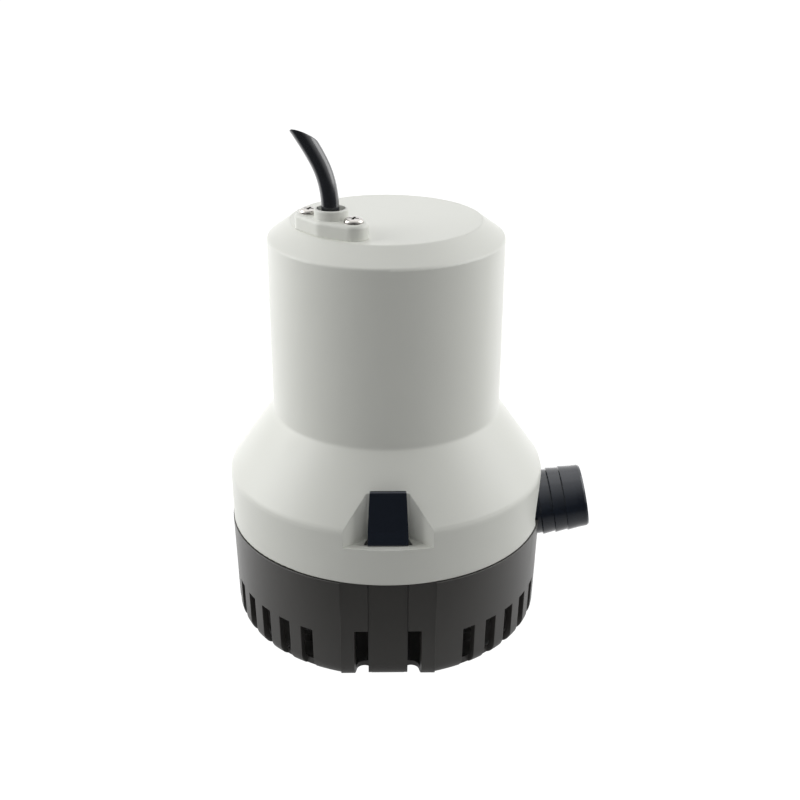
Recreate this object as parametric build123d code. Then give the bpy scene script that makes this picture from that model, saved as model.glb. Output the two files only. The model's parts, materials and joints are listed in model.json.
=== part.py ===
from build123d import *
import math
import os

# Submersible bilge pump: a motor housing with a pump casing below it, lifted off a slotted strainer base.
# Millimetres. +Z is up, the origin is on the pump's axis at the underside of the base.
# The hose barb points along +X and the two latch tongues stand at -Y (front) and +Y (back).

# ---- driving dimensions: shells ----
base_height = 48.6
base_rim_radius = 70.1
base_foot_radius = 68.7
base_wall = 2.8
base_floor = 2.4
base_corner_radius = 7.5
base_inner_corner_radius = 5.0
seat_gap = 0.3
skirt_foot_radius = 69.7
skirt_radius = 70.0
skirt_height = 23.9
cone_height = 28.4
barrel_radius = 50.0
barrel_height = 76.2
chamfer_height = 7.0
top_face_radius = 40.3
housing_wall = 2.8
spigot_height = 3.6
spigot_wall = 2.1
spigot_gap = 0.4

# ---- driving dimensions: strainer slots and screw holes in the base ----
slot_width = 6.0
slot_height = 22.1
front_slot_height = 24.7
slot_pitch_deg = 10.0
slot_left_out = (0, 1, 2, 16, 17, 18, 19, 20, 34, 35)
slot_depth = 4.0
notch_width = 6.8
notch_depth = 11.7
flat_distance = 66.8
flat_half_width = 20.0
flat_wall = 3.6
base_screw_circle_radius = 50.0
base_screw_hole_radius = 2.3
base_screw_boss_radius = 6.0
base_screw_boss_height = 6.0

# ---- driving dimensions: latch tongues and their pockets ----
tongue_half_width = 8.3
tongue_side_gap = 0.15
tongue_front = 66.5
tongue_foot_radius = 1.7
tongue_foot_distance = 62.6
tongue_foot_z = 3.6
tongue_groove_gap = 0.1
tongue_neck_thickness = 3.0
tongue_neck_half_width = 8.3
tab_half_width = 7.4
tab_height = 23.7
tab_top_thickness = 1.8
tab_lean = 0.8
tab_corner_radius = 0.8
nose_overhang = 1.2
nose_height = 5.6
shelf_rise = 16.6
shelf_thickness = 2.8
hole_front_gap = 0.3
hole_depth = 5.1
hole_front_half_width = 10.0
hole_back_half_width = 8.5
pocket_back_half_width = 8.7
pocket_flare = 1.303
pocket_wall = 2.4

# ---- driving dimensions: pump casing and hose barb ----
tube_overhang = 7.4
plate_thickness = 4.0
chamber_depth = 28.0
chamber_radius_start = 36.0
chamber_radius_end = 43.0
cutwater_deg = 18.0
casing_wall = 2.6
casing_flange_thickness = 3.4
eye_radius = 17.0
eye_collar_height = 2.4
lug_overhang = 4.0
lug_radius = 4.8
casing_screw_radius = 2.0
casing_screw_head_radius = 3.8
casing_screw_length = 22.0
outlet_tilt_deg = 10.0
outlet_bore_radius = 11.5
outlet_wall = 2.8
outlet_gap = 0.3
barb_ring_height = 0.8
barb_pitch = 5.7
barb_start = -0.2
barb_step = 0.35
barb_reach = 21.1
spot_face_radius = 24.0
spot_face_depth = 3.6

# ---- driving dimensions: cable gland and cable ----
gland_radius = 31.2
gland_azimuth_deg = -135.4
gland_turn_deg = -40.5
gland_thickness = 6.2
gland_body_radius = 8.2
gland_ear_radius = 5.9
gland_screw_offset = 12.0
gland_boss_radius = 6.9
gland_boss_height = 3.8
gland_bore_radius = 5.7
gland_edge_radius = 1.6
gland_screw_radius = 1.9
gland_screw_head_radius = 4.0
gland_screw_head_height = 1.7
gland_screw_length = 14.0
cable_radius = 3.6
cable_gap = 0.03
seal_pocket_radius = 6.3
seal_pocket_depth = 5.8
cable_end_lean = 0.31
cable_end_tilt = 0.69
lead_radius = 1.1
lead_spacing = 3.0

# ---- driving dimensions: motor ----
shaft_radius = 3.0
running_gap = 0.05
fit_gap = 0.02
motor_radius = 38.5
motor_wall = 2.0
motor_cap_thickness = 6.0
cushion_thickness = 2.0
motor_lift = 15.0
motor_head_room = 24.8
bearing_radius = 7.0
bearing_length = 6.4
magnet_thickness = 6.2
magnet_length = 44.0
magnet_span_deg = 130.0
air_gap = 0.7
core_length = 36.0
core_teeth = 12
commutator_radius = 11.0
commutator_length = 11.0
commutator_bars = 12
brush_width = 6.0
brush_height = 8.0
brush_length = 9.0
holder_wall = 0.8
terminal_x = 25.0
terminal_width = 6.3
terminal_thickness = 0.8

# ---- driving dimensions: shaft seals and impeller ----
seal_radius = 9.0
seal_height = 5.0
seal_spacer_height = 3.0
impeller_radius = 31.0
impeller_vanes = 5
vane_height = 12.0
vane_thickness = 2.2
shroud_thickness = 2.4
impeller_hub_radius = 7.5
impeller_floor_gap = 1.0

# ---- heights that follow ----
skirt_foot_z = base_height + seat_gap
cone_foot_z = skirt_foot_z + skirt_height
barrel_foot_z = cone_foot_z + cone_height
chamfer_z = barrel_foot_z + barrel_height
top_z = chamfer_z + chamfer_height
ceiling_z = top_z - 3.0
tube_foot_z = cone_foot_z - tube_overhang
plate_z = tube_foot_z - plate_thickness
chamber_floor_z = plate_z - chamber_depth
casing_foot_z = chamber_floor_z - casing_wall
shelf_z = skirt_foot_z + shelf_rise
motor_z = tube_foot_z + motor_lift
motor_length = ceiling_z - motor_head_room - motor_z
motor_top_z = motor_z + motor_length
motor_cap_top_z = motor_top_z + motor_cap_thickness
cone_slope = cone_height / (skirt_radius - barrel_radius)
cone_wall_run = housing_wall * math.hypot(1.0, cone_slope) / cone_slope
tube_inner_radius = barrel_radius - housing_wall
lug_circle_radius = barrel_radius + lug_overhang
lug_angles = (45.0, 135.0, 225.0, 315.0)
gland_x = gland_radius * math.cos(math.radians(gland_azimuth_deg))
gland_y = gland_radius * math.sin(math.radians(gland_azimuth_deg))

# ---- the outlet's axis: it leaves the chamber wall just above the chamber floor and rises outwards ----
outlet_neck_radius = outlet_bore_radius + outlet_wall
outlet_barb_radius = outlet_neck_radius + barb_ring_height
tilt = math.radians(outlet_tilt_deg)
outlet_start = Vector(chamber_radius_end, 0, chamber_floor_z + outlet_bore_radius / math.cos(tilt))
outlet_axis = Vector(math.cos(tilt), 0, math.sin(tilt))
outlet_plane = Plane(origin=outlet_start, x_dir=(0, 1, 0), z_dir=outlet_axis)
skirt_reach = (skirt_radius - chamber_radius_end) / math.cos(tilt)
outlet_skirt_z = outlet_start.Z + skirt_reach * math.sin(tilt)
casing_ring_radius = chamber_radius_end + casing_wall + 2.0

# ---- latch parts: the slots beside a tongue, and distances from the pump's axis ----
tongue_gap_half_width = tongue_half_width + tongue_side_gap
beside_tongue_deg = math.degrees(math.atan((tongue_gap_half_width + slot_width / 2 - 0.2) / flat_distance))
neck_front = tongue_front - 1.4
hole_front = neck_front + hole_front_gap
hole_back = hole_front - hole_depth
pocket_back = hole_back - 0.4

# ---- shaft seals, from the bottom up ----
lower_seal_z = plate_z + 0.4
spacer_z = lower_seal_z + seal_height
upper_seal_z = spacer_z + seal_spacer_height
seal_stop_z = upper_seal_z + seal_height
hub_top_z = seal_stop_z + 1.6

# ---- motor and rotor ----
magnet_outer = motor_radius - motor_wall - fit_gap
magnet_inner = magnet_outer - magnet_thickness
core_radius = magnet_inner - air_gap
core_z = motor_z + 16.0
core_top_z = core_z + core_length
card_z = motor_top_z - 3.4
brush_z = card_z - brush_height - 1.8
commutator_z = brush_z - 1.5
bearing_hub_radius = bearing_radius + 3.0
connector_top_z = motor_cap_top_z + 8.0
hub_z = chamber_floor_z + 4.0
shroud_z = chamber_floor_z + impeller_floor_gap + vane_height


def rod(radius, z0, z1, x=0.0, y=0.0):
    """Upright cylinder between two heights."""
    return Pos(x, y, z0) * Cylinder(radius, z1 - z0, align=(Align.CENTER, Align.CENTER, Align.MIN))


def ring(outer, inner, z0, z1, x=0.0, y=0.0):
    """Upright ring between two heights."""
    return rod(outer, z0, z1, x, y) - rod(inner, z0 - 1, z1 + 1, x, y)


def block(x0, x1, y0, y1, z0, z1):
    """Box between its corner coordinates."""
    return Pos((x0 + x1) / 2, (y0 + y1) / 2, (z0 + z1) / 2) * Box(x1 - x0, y1 - y0, z1 - z0)


def turned(corners):
    """Solid of revolution about Z from (radius, z, corner radius) points."""
    outline = FilletPolyline(*[(r, z) for r, z, _ in corners], radius=[c for _, _, c in corners], close=True)
    return revolve(Plane.XZ * make_face(outline), Axis.Z)


def prism(points, z0, z1):
    """Upright prism over a polygon of (x, y) points."""
    return extrude(Pos(0, 0, z0) * make_face(Polyline(*points, close=True)), z1 - z0)


def around(shape, angles):
    """Copies of a shape turned about Z, joined."""
    return [Rot(0, 0, a) * shape for a in angles]


def one_of_pair(shape, name):
    """The front shape as it is, or turned half round for the back."""
    return shape if name == "front" else Rot(0, 0, 180) * shape


# ---- motor housing ----
def housing_envelope():
    """Everything inside the housing's outer surface."""
    return turned([
        (0, skirt_foot_z, 0), (skirt_foot_radius, skirt_foot_z, 0.6), (skirt_radius, cone_foot_z, 5.0),
        (barrel_radius, barrel_foot_z, 2.5), (barrel_radius, chamfer_z, 1.5),
        (top_face_radius, top_z, 1.5), (0, top_z, 0)])


def housing_cavity():
    """The dry barrel, and the open space between the flared cone and the tube inside it."""
    low_z = skirt_foot_z - 5
    inner_chamfer_z = chamfer_z - 1.0
    barrel = turned([
        (0, low_z, 0), (tube_inner_radius, low_z, 0), (tube_inner_radius, inner_chamfer_z, 1.0),
        (top_face_radius - 2.0, ceiling_z, 1.0), (0, ceiling_z, 0)])
    inner_foot = skirt_foot_radius - housing_wall
    inner_top = skirt_radius - housing_wall
    corner_z = cone_foot_z - (inner_top - skirt_radius + cone_wall_run) * cone_slope
    roof_z = barrel_foot_z - cone_wall_run * cone_slope
    flare = turned([
        (barrel_radius, low_z, 0), (inner_foot, low_z, 0), (inner_foot, skirt_foot_z, 0),
        (inner_top, corner_z, 2.5), (barrel_radius, roof_z, 0)])
    below_tube = rod(barrel_radius + 0.1, low_z, tube_foot_z)
    return barrel + flare + below_tube


def pocket_outline(distance_back, half_width, reach):
    """Flared pocket in plan: flat back, side walls that open outwards to the given reach."""
    spread = half_width + (reach - distance_back) * pocket_flare
    return [(-half_width, -distance_back), (half_width, -distance_back), (spread, -reach), (-spread, -reach)]


def latch_pocket_walls():
    """Shelf and walls of one latch pocket, before they are trimmed to the housing."""
    back = pocket_back - pocket_wall
    outline = pocket_outline(back, pocket_back_half_width + 0.9 * pocket_wall, skirt_radius + 6)
    return prism(outline, shelf_z - shelf_thickness, barrel_foot_z)


def latch_pocket_space():
    """The hollow of one latch pocket and the hole in its shelf that the tongue comes through."""
    outline = pocket_outline(pocket_back, pocket_back_half_width, skirt_radius + 12)
    hollow = prism(outline, shelf_z, barrel_foot_z + 5)
    hole = prism([
        (-hole_front_half_width, -hole_front), (hole_front_half_width, -hole_front),
        (hole_back_half_width, -hole_back), (-hole_back_half_width, -hole_back)],
        shelf_z - shelf_thickness - 1, shelf_z + 1)
    return hollow + hole


def along_outlet(radius, start, end):
    """Cylinder on the outlet's axis; distances are measured from the chamber wall."""
    return outlet_plane * rod(radius, start, end)


def outlet_passage(radius, z_open):
    """Room for the outlet's neck through a wall, open from the outlet's axis to the given height."""
    low_z = min(outlet_skirt_z, z_open)
    high_z = max(outlet_skirt_z, z_open)
    straight = block(chamber_radius_end + 8, skirt_radius + 12, -radius, radius, low_z, high_z)
    return along_outlet(radius, 6, skirt_reach + 12) + straight


def on_gland(shape):
    """Place a shape drawn about the origin, ears along X, on the gland's spot."""
    return Pos(gland_x, gland_y, 0) * Rot(0, 0, gland_turn_deg) * shape


def gland_screw_spots(radius, z0, z1):
    """Two upright cylinders on the gland's screw centres."""
    return [on_gland(rod(radius, z0, z1, side * gland_screw_offset)) for side in (-1, 1)]


def motor_housing():
    """White outer moulding: barrel, flared cone, skirt and the inner tube that carries the pump casing."""
    envelope = housing_envelope()
    body = envelope - housing_cavity()
    added = around(rod(lug_radius, tube_foot_z, barrel_foot_z, lug_circle_radius), lug_angles)
    added += [one_of_pair(latch_pocket_walls(), side) for side in ("front", "back")]
    spot_z = skirt_reach - spot_face_depth
    added.append(along_outlet(spot_face_radius + housing_wall, spot_z - housing_wall, skirt_reach))
    added += gland_screw_spots(4.4, top_z - gland_screw_length + gland_thickness - 1, top_z - 1)
    pocket_floor_z = top_z - seal_pocket_depth
    added.append(on_gland(rod(seal_pocket_radius + 2.2, pocket_floor_z - 1.5, top_z - 1)))
    rib_z = motor_cap_top_z + cushion_thickness
    rib = block(motor_radius - 4.0, tube_inner_radius + 1, -1.2, 1.2, rib_z, ceiling_z)
    added += around(rib, [30 + 60 * i for i in range(6)])
    for piece in added:
        body += piece & envelope
    body -= [one_of_pair(latch_pocket_space(), side) for side in ("front", "back")]
    body -= along_outlet(spot_face_radius, spot_z, skirt_reach + 12)
    body -= outlet_passage(outlet_neck_radius + outlet_gap, skirt_foot_z - 5)
    body -= around(rod(casing_screw_radius, tube_foot_z - 1, tube_foot_z + 17, lug_circle_radius), lug_angles)
    body -= gland_screw_spots(gland_screw_radius, top_z - gland_screw_length + gland_thickness, top_z + 1)
    body -= on_gland(rod(seal_pocket_radius, pocket_floor_z, top_z + 1))
    body -= on_gland(rod(cable_radius + 0.5, pocket_floor_z - 8, top_z))
    return body


# ---- strainer base ----
def base_slots():
    """Intake slots round the foot; those beside the tongues are taller, with a round notch in the floor."""
    out = base_rim_radius + 3
    inner = base_foot_radius - slot_depth
    plain = block(inner - 6, out, -slot_width / 2, slot_width / 2, -1, slot_height)
    plain = plain & ring(out, inner, -1, slot_height)
    turns = [i * slot_pitch_deg for i in range(int(360 / slot_pitch_deg)) if i not in slot_left_out]
    half = notch_width / 2
    round_x = base_foot_radius - notch_depth + half
    clear_x = base_foot_radius - base_wall - base_inner_corner_radius - 0.5
    tall = block(clear_x, out, -slot_width / 2, slot_width / 2, -1, front_slot_height)
    tall += block(round_x, out, -half, half, -1, base_floor + 0.2) + rod(half, -1, base_floor + 0.2, round_x)
    tall_turns = [middle + side * beside_tongue_deg for middle in (0, 180) for side in (-1, 1)]
    return around(plain, [t - 90 for t in turns]) + around(tall, [t - 90 for t in tall_turns])


def flat_profile(wall, reach):
    """Section of the flattened wall from (distance from the axis, height), with the foot's rounded corner."""
    front = flat_distance
    outline = FilletPolyline(
        (front - reach, 0), (front, 0), (front, base_height), (front - wall, base_height),
        (front - wall, base_floor), (front - reach, base_floor),
        radius=[0, base_corner_radius, 0, 0, 2.0, 0], close=True)
    return mirror(extrude(Plane.YZ * make_face(outline), flat_half_width, both=True), about=Plane.XZ)


def base_flat(side):
    """Flattened stretch of wall with the slot for a latch tongue: (removed, added, slot)."""
    outside = -base_rim_radius - 5
    above = base_height + spigot_height + 1
    gap = tongue_gap_half_width
    reach = base_corner_radius + 2.5
    old = block(-flat_half_width, flat_half_width, outside, reach - flat_distance, -1, base_height)
    old += block(-flat_half_width, flat_half_width, outside, -flat_distance, base_height - 1, above)
    slot = block(-gap, gap, outside, 2.1 - tongue_foot_distance, -1, above)
    return one_of_pair(old, side), one_of_pair(flat_profile(flat_wall, reach), side), one_of_pair(slot, side)


def tongue_rail():
    """Round-backed rail on the floor that the foot of a latch tongue turns in."""
    gap = tongue_gap_half_width
    foot = tongue_foot_distance
    return block(-gap - 1, gap + 1, 1.2 - foot, 5.0 - foot, 0, tongue_foot_z + 1.5)


def tongue_groove():
    """The round hollow of the rail."""
    turn = Pos(0, -tongue_foot_distance, tongue_foot_z) * Rot(0, 90, 0)
    return turn * Cylinder(tongue_foot_radius + tongue_groove_gap, 2 * tongue_gap_half_width)


def strainer_base():
    """Black slotted basket that is screwed to the hull and carries the pump."""
    rim = base_rim_radius
    foot = base_foot_radius
    shell = turned([
        (0, 0, 0), (foot, 0, base_corner_radius), (rim, base_height, 0),
        (rim - base_wall, base_height, 0), (foot - base_wall, base_floor, base_inner_corner_radius),
        (0, base_floor, 0)])
    spigot_radius = skirt_foot_radius - housing_wall - spigot_gap
    spigot = turned([
        (spigot_radius - spigot_wall, base_height - 6, 0), (rim - 1.4, base_height - 6, 0),
        (rim - 1.4, base_height - 0.01, 0), (spigot_radius, base_height - 0.01, 0),
        (spigot_radius, base_height + spigot_height - 0.8, 0),
        (spigot_radius - 0.6, base_height + spigot_height, 0),
        (spigot_radius - spigot_wall, base_height + spigot_height, 0)])
    body = shell + spigot
    for side in ("front", "back"):
        removed, added, slot = base_flat(side)
        body -= removed
        body += added
        body -= slot
        body += one_of_pair(tongue_rail(), side)
        body -= one_of_pair(tongue_groove(), side)
    bosses = rod(base_screw_boss_radius, 0, base_screw_boss_height, base_screw_circle_radius)
    holes = rod(base_screw_hole_radius, -1, base_screw_boss_height + 1, base_screw_circle_radius)
    body += around(bosses, lug_angles)
    body -= around(holes, lug_angles)
    body -= base_slots()
    body -= outlet_passage(outlet_neck_radius + 2 * outlet_gap, base_height + 20)
    spot_half = spot_face_radius + 4.5
    body -= block(chamber_radius_end, rim + 5, -spot_half, spot_half, base_height, base_height + 20)
    return body


# ---- latch tongue ----
def latch_tongue(side):
    """Springy tongue: foot, panel in the base wall, neck through the shelf, nose over it and finger tab."""
    top_z_tab = shelf_z + tab_height
    nose_z = shelf_z + seat_gap
    nose_front = hole_front + nose_overhang
    neck_back = neck_front - tongue_neck_thickness
    panel_back = tongue_front - 2.8
    low_z = flat_distance - tongue_front
    face_z = nose_z + nose_height
    profile = FilletPolyline(
        (tongue_front, low_z), (tongue_front, base_height - 1.4), (neck_front, base_height - 0.1),
        (neck_front, nose_z), (nose_front, nose_z), (neck_front + 0.1, face_z),
        (neck_front - tab_lean, top_z_tab), (neck_front - tab_lean - tab_top_thickness, top_z_tab),
        (neck_back, nose_z + 4), (neck_back, shelf_z - 6), (panel_back, base_corner_radius + 2),
        (tongue_foot_distance - 1.0, tongue_foot_z), (tongue_foot_distance - 1.0, low_z),
        radius=[0, 0, 0, 0, 0.3, 0, 0.9, 0.6, 0, 0, 0, 0, 0], close=True)
    slab = extrude(Plane.YZ * Pos(0, 0, 0) * make_face(profile), tongue_half_width, both=True)
    slab = mirror(slab, about=Plane.XZ)
    half = tongue_half_width
    front_view = make_face(FilletPolyline(
        (-half, 0), (half, 0), (half, base_height - 0.4), (tongue_neck_half_width, base_height + 0.8),
        (tongue_neck_half_width, face_z), (tab_half_width, top_z_tab),
        (-tab_half_width, top_z_tab), (-tongue_neck_half_width, face_z),
        (-tongue_neck_half_width, base_height + 0.8), (-half, base_height - 0.4),
        radius=[0, 0, 0, 0, 0, tab_corner_radius, tab_corner_radius, 0, 0, 0], close=True))
    front_view = extrude(Plane.XZ * front_view, 2 * skirt_radius, both=True)
    half_z = base_height / 2
    side_view = make_face(FilletPolyline(
        (0, low_z), (tongue_front, low_z), (tongue_front, half_z), (2 * skirt_radius, half_z),
        (2 * skirt_radius, 2 * top_z), (0, 2 * top_z),
        radius=[0, base_corner_radius - low_z, 0, 0, 0, 0], close=True))
    side_view = mirror(extrude(Plane.YZ * side_view, 2 * half, both=True), about=Plane.XZ)
    turn = Pos(0, -tongue_foot_distance, tongue_foot_z) * Rot(0, 90, 0)
    foot = turn * Cylinder(tongue_foot_radius, 2 * half)
    return one_of_pair((slab & front_view & side_view) + foot, side)


# ---- pump casing ----
def spiral(extra):
    """Spiral outline of the pump chamber, widened by the given amount."""
    start = math.radians(cutwater_deg)
    sweep = 2 * math.pi - 2 * start
    growth = chamber_radius_end - chamber_radius_start
    count = 16
    points = []
    for i in range(count + 1):
        angle = start + sweep * i / count
        radius = chamber_radius_start + growth * i / count + extra
        points.append((radius * math.cos(angle), radius * math.sin(angle)))
    curve = Spline(*points)
    return make_face(Curve() + [curve, Line(points[-1], points[0])])


def lug_plate(radius, z0, z1):
    """Round plate with four screw lugs."""
    body = rod(radius, z0, z1)
    for a in lug_angles:
        body += Rot(0, 0, a) * rod(lug_radius, z0, z1, lug_circle_radius)
        body += Rot(0, 0, a) * block(radius - 4, lug_circle_radius, -lug_radius, lug_radius, z0, z1)
    return body


def lug_holes(radius, z0, z1):
    """Screw clearance holes in the four lugs."""
    return [Rot(0, 0, a) * rod(radius, z0 - 1, z1 + 1, lug_circle_radius) for a in lug_angles]


def barb_profile():
    """Outer profile of the outlet along its axis, from inside the casing wall to the tip."""
    neck = outlet_neck_radius
    crest = outlet_barb_radius
    points = [(0, -6.0), (neck, -6.0)]
    for i in range(3):
        s = skirt_reach + barb_start + i * barb_pitch
        root = neck if i == 0 else neck + 0.15
        peak = crest if i < 2 else crest - 0.15
        points += [(root, s), (peak, s + barb_step)]
    tip = skirt_reach + barb_reach
    points.append((neck + 0.05, skirt_reach + barb_start + 3 * barb_pitch))
    points += [(neck - 0.1, tip - 0.9), (neck - 0.6, tip), (0, tip)]
    return points


def volute_casing():
    """Black pump casing: spiral chamber, inlet eye with its collar, flange and hose barb."""
    flange_z = plate_z - casing_flange_thickness
    body = extrude(Pos(0, 0, casing_foot_z) * spiral(casing_wall), plate_z - casing_foot_z)
    body += lug_plate(barrel_radius, flange_z, plate_z)
    barb = revolve(Plane.XZ * make_face(Polyline(*barb_profile(), close=True)), Axis.Z)
    body += outlet_plane * barb
    body += ring(eye_radius + 2.4, eye_radius, casing_foot_z - eye_collar_height, casing_foot_z + 1)
    body -= extrude(Pos(0, 0, chamber_floor_z) * spiral(0), chamber_depth + 5)
    body -= rod(eye_radius, casing_foot_z - 5, chamber_floor_z + 1)
    body -= along_outlet(outlet_bore_radius, -9, skirt_reach + barb_reach + 1)
    body -= lug_holes(casing_screw_radius + 0.25, flange_z, plate_z)
    groove = ring(casing_ring_radius + 1.0, casing_ring_radius - 1.0, plate_z - 1.5, plate_z + 1)
    body -= groove
    body -= rod(barrel_radius + 10, plate_z, plate_z + 30) & block(0, 60, -30, 30, plate_z, plate_z + 30)
    return body


def casing_o_ring():
    """Seal between the pump casing's flange and the seal plate."""
    return Pos(0, 0, plate_z - 0.76) * Torus(casing_ring_radius, 0.74)


def casing_screws():
    """Four long screws from the casing's lugs into the housing's bosses."""
    head_z = plate_z - casing_flange_thickness
    screw = rod(casing_screw_radius - fit_gap, head_z, head_z + casing_screw_length, lug_circle_radius)
    head = rod(casing_screw_head_radius, head_z - 3.0, head_z, lug_circle_radius)
    head = fillet(head.edges().sort_by(Axis.Z)[0], 1.2)
    cross = block(-0.5, 0.5, -2.2, 2.2, -1, 1.6) + block(-2.2, 2.2, -0.5, 0.5, -1, 1.6)
    head -= Pos(lug_circle_radius, 0, head_z - 3.0) * cross
    return around(head + screw, lug_angles)


# ---- seal plate, shaft seals ----
def seal_plate():
    """Plate that closes the dry barrel, with the seal hub, the o-ring spigot and the motor's collar."""
    body = lug_plate(barrel_radius, plate_z, tube_foot_z)
    body -= lug_holes(casing_screw_radius + 0.25, plate_z, tube_foot_z)
    body += rod(tube_inner_radius - 0.3, tube_foot_z, tube_foot_z + 7.0)
    body -= ring(tube_inner_radius + 1, tube_inner_radius - 2.3, tube_foot_z + 2.2, tube_foot_z + 4.8)
    body -= ring(tube_inner_radius - 5, seal_radius + 4.5, tube_foot_z, tube_foot_z + 8)
    body += rod(seal_radius + 4.5, plate_z, hub_top_z)
    body += ring(motor_radius - 5.5, motor_radius - 9.5, tube_foot_z, motor_z - cushion_thickness)
    web = block(seal_radius + 3, motor_radius - 8, -1.2, 1.2, tube_foot_z, hub_top_z - 2)
    body += around(web, range(0, 360, 60))
    body -= rod(seal_radius, plate_z - 1, seal_stop_z)
    body -= rod(shaft_radius + 1.2, plate_z, hub_top_z + 1)
    return body


def shaft_seal(z0):
    """Rubber lip seal: outer case with a thinner lip web down to the shaft."""
    case = ring(seal_radius - fit_gap, seal_radius - 2.6, z0, z0 + seal_height)
    web = ring(seal_radius - 2.4, shaft_radius + running_gap, z0 + 1.6, z0 + 3.0)
    lip = ring(shaft_radius + 1.3, shaft_radius + running_gap, z0 + 0.3, z0 + 2.0)
    return case + web + lip


def seal_spacer():
    """Spacer ring between the two shaft seals."""
    return ring(seal_radius - fit_gap, shaft_radius + 2.0, spacer_z, upper_seal_z)


def housing_o_ring():
    """Seal between the seal plate's spigot and the housing's tube."""
    return Pos(0, 0, tube_foot_z + 3.5) * Torus(tube_inner_radius - fit_gap - 1.14, 1.14)


# ---- motor, fixed pieces ----
def motor_can():
    """Steel can of the motor, closed at the bottom round the lower bearing."""
    body = rod(motor_radius, motor_z, motor_top_z)
    body -= rod(motor_radius - motor_wall, motor_z + motor_wall, motor_top_z + 1)
    body += rod(bearing_hub_radius, motor_z, motor_z + 8)
    body -= rod(bearing_radius, motor_z + 0.8, motor_z + 9)
    body -= rod(shaft_radius + 1.0, motor_z - 1, motor_z + 9)
    return body


def motor_end_cap():
    """Plastic end cap with the upper bearing's hub and two terminal slots."""
    body = rod(motor_radius, motor_top_z, motor_cap_top_z)
    body = fillet(body.edges().sort_by(Axis.Z)[-1], 1.5)
    spigot = motor_radius - motor_wall - 0.1
    body += ring(spigot, spigot - 3, card_z + 2, motor_top_z)
    body += rod(bearing_hub_radius, card_z + 2, motor_top_z)
    body -= rod(bearing_radius, card_z + 1, card_z + 2.2 + bearing_length)
    body -= terminal_slots()
    return body


def terminal_slots():
    """Clearance for the two terminal blades."""
    slot = block(terminal_x - 0.6, terminal_x + 0.6, -3.35, 3.35, card_z - 1, motor_cap_top_z + 1)
    return around(slot, (0, 180))


def bearing(z0):
    """Sintered bush with a running fit on the shaft."""
    return ring(bearing_radius - fit_gap, shaft_radius + running_gap, z0, z0 + bearing_length)


def magnets():
    """Two curved magnets inside the can."""
    z0 = core_z - 4.0
    z1 = z0 + magnet_length
    half = math.radians(magnet_span_deg / 2)
    far = 2 * motor_radius
    far_x = far * math.cos(half)
    far_y = far * math.sin(half)
    wedge = prism([(0, 0), (far_x, -far_y), (far, -far_y), (far, far_y), (far_x, far_y)], z0, z1)
    return around(ring(magnet_outer, magnet_inner, z0, z1) & wedge, (90, 270))


def brush_card():
    """Insulating ring that carries the brush holders under the end cap."""
    body = ring(motor_radius - motor_wall - 0.1, commutator_radius + 2.5, card_z, card_z + 2)
    return body - terminal_slots()


def brush_frame(shape):
    """The same piece at both ends of the commutator's diameter."""
    return around(shape, (0, 180))


def carbon_brushes():
    """Two carbon blocks, hollowed to the commutator's radius."""
    half = brush_width / 2
    start = commutator_radius - 1
    body = block(start, commutator_radius + brush_length, -half, half, brush_z, brush_z + brush_height)
    body -= rod(commutator_radius + 0.1, brush_z - 1, brush_z + brush_height + 1)
    return brush_frame(body)


def brush_holders():
    """Brass boxes that guide the brushes, closed at the outer end."""
    half = brush_width / 2 + 0.15
    x0 = commutator_radius + 2.2
    x1 = terminal_x + 1.4
    z0 = brush_z - 0.15
    z1 = brush_z + brush_height + 0.15
    body = block(x0, x1, -half - holder_wall, half + holder_wall, z0 - holder_wall, card_z)
    body -= block(x0 - 1, x1 - holder_wall, -half, half, z0, z1)
    return brush_frame(body)


def brush_springs():
    """Coil springs that press the brushes on the commutator."""
    x0 = commutator_radius + brush_length + 0.35
    x1 = terminal_x + 1.4 - holder_wall - 0.35
    wire = 0.3
    turns = 5
    middle = (x0, 0, brush_z + brush_height / 2)
    path = Helix((x1 - x0) / turns, x1 - x0, 2.2, direction=(1, 0, 0), center=middle)
    section = Plane(origin=path @ 0, z_dir=path % 0) * Circle(wire)
    return brush_frame(sweep(section, path=path))


def terminals():
    """Brass blades that stand out of the end cap."""
    half = terminal_width / 2
    thick = terminal_thickness / 2
    body = block(terminal_x - thick, terminal_x + thick, -half, half, card_z, motor_cap_top_z + 6)
    body = chamfer(body.faces().sort_by(Axis.Z)[-1].edges().filter_by(Axis.X), 1.2)
    return brush_frame(body)


def push_on_connectors():
    """Sleeves pushed on the terminal blades at the ends of the leads."""
    body = block(terminal_x - 1.3, terminal_x + 1.3, -3.9, 3.9, motor_cap_top_z + 0.6, connector_top_z)
    thick = terminal_thickness / 2 + fit_gap
    half = terminal_width / 2 + fit_gap
    blade_top_z = motor_cap_top_z + 6 + fit_gap
    body -= block(terminal_x - thick, terminal_x + thick, -half, half, motor_cap_top_z, blade_top_z)
    return brush_frame(body)


def cushions(name):
    """Rubber rings that hold the motor between the seal plate and the housing's ribs."""
    if name == "lower":
        return ring(motor_radius - 4.5, motor_radius - 10.5, motor_z - cushion_thickness, motor_z)
    return ring(motor_radius - 0.3, motor_radius - 5.0, motor_cap_top_z, motor_cap_top_z + cushion_thickness)


# ---- rotor ----
def motor_shaft():
    """Stainless shaft with a stepped, threaded lower end for the impeller."""
    body = rod(shaft_radius, hub_z, motor_cap_top_z - 2.6)
    body += rod(shaft_radius - 0.5, chamber_floor_z - 2.4, hub_z)
    body = chamfer(body.edges().sort_by(Axis.Z)[0], 0.5)
    return chamfer(body.edges().sort_by(Axis.Z)[-1], 0.5)


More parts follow.
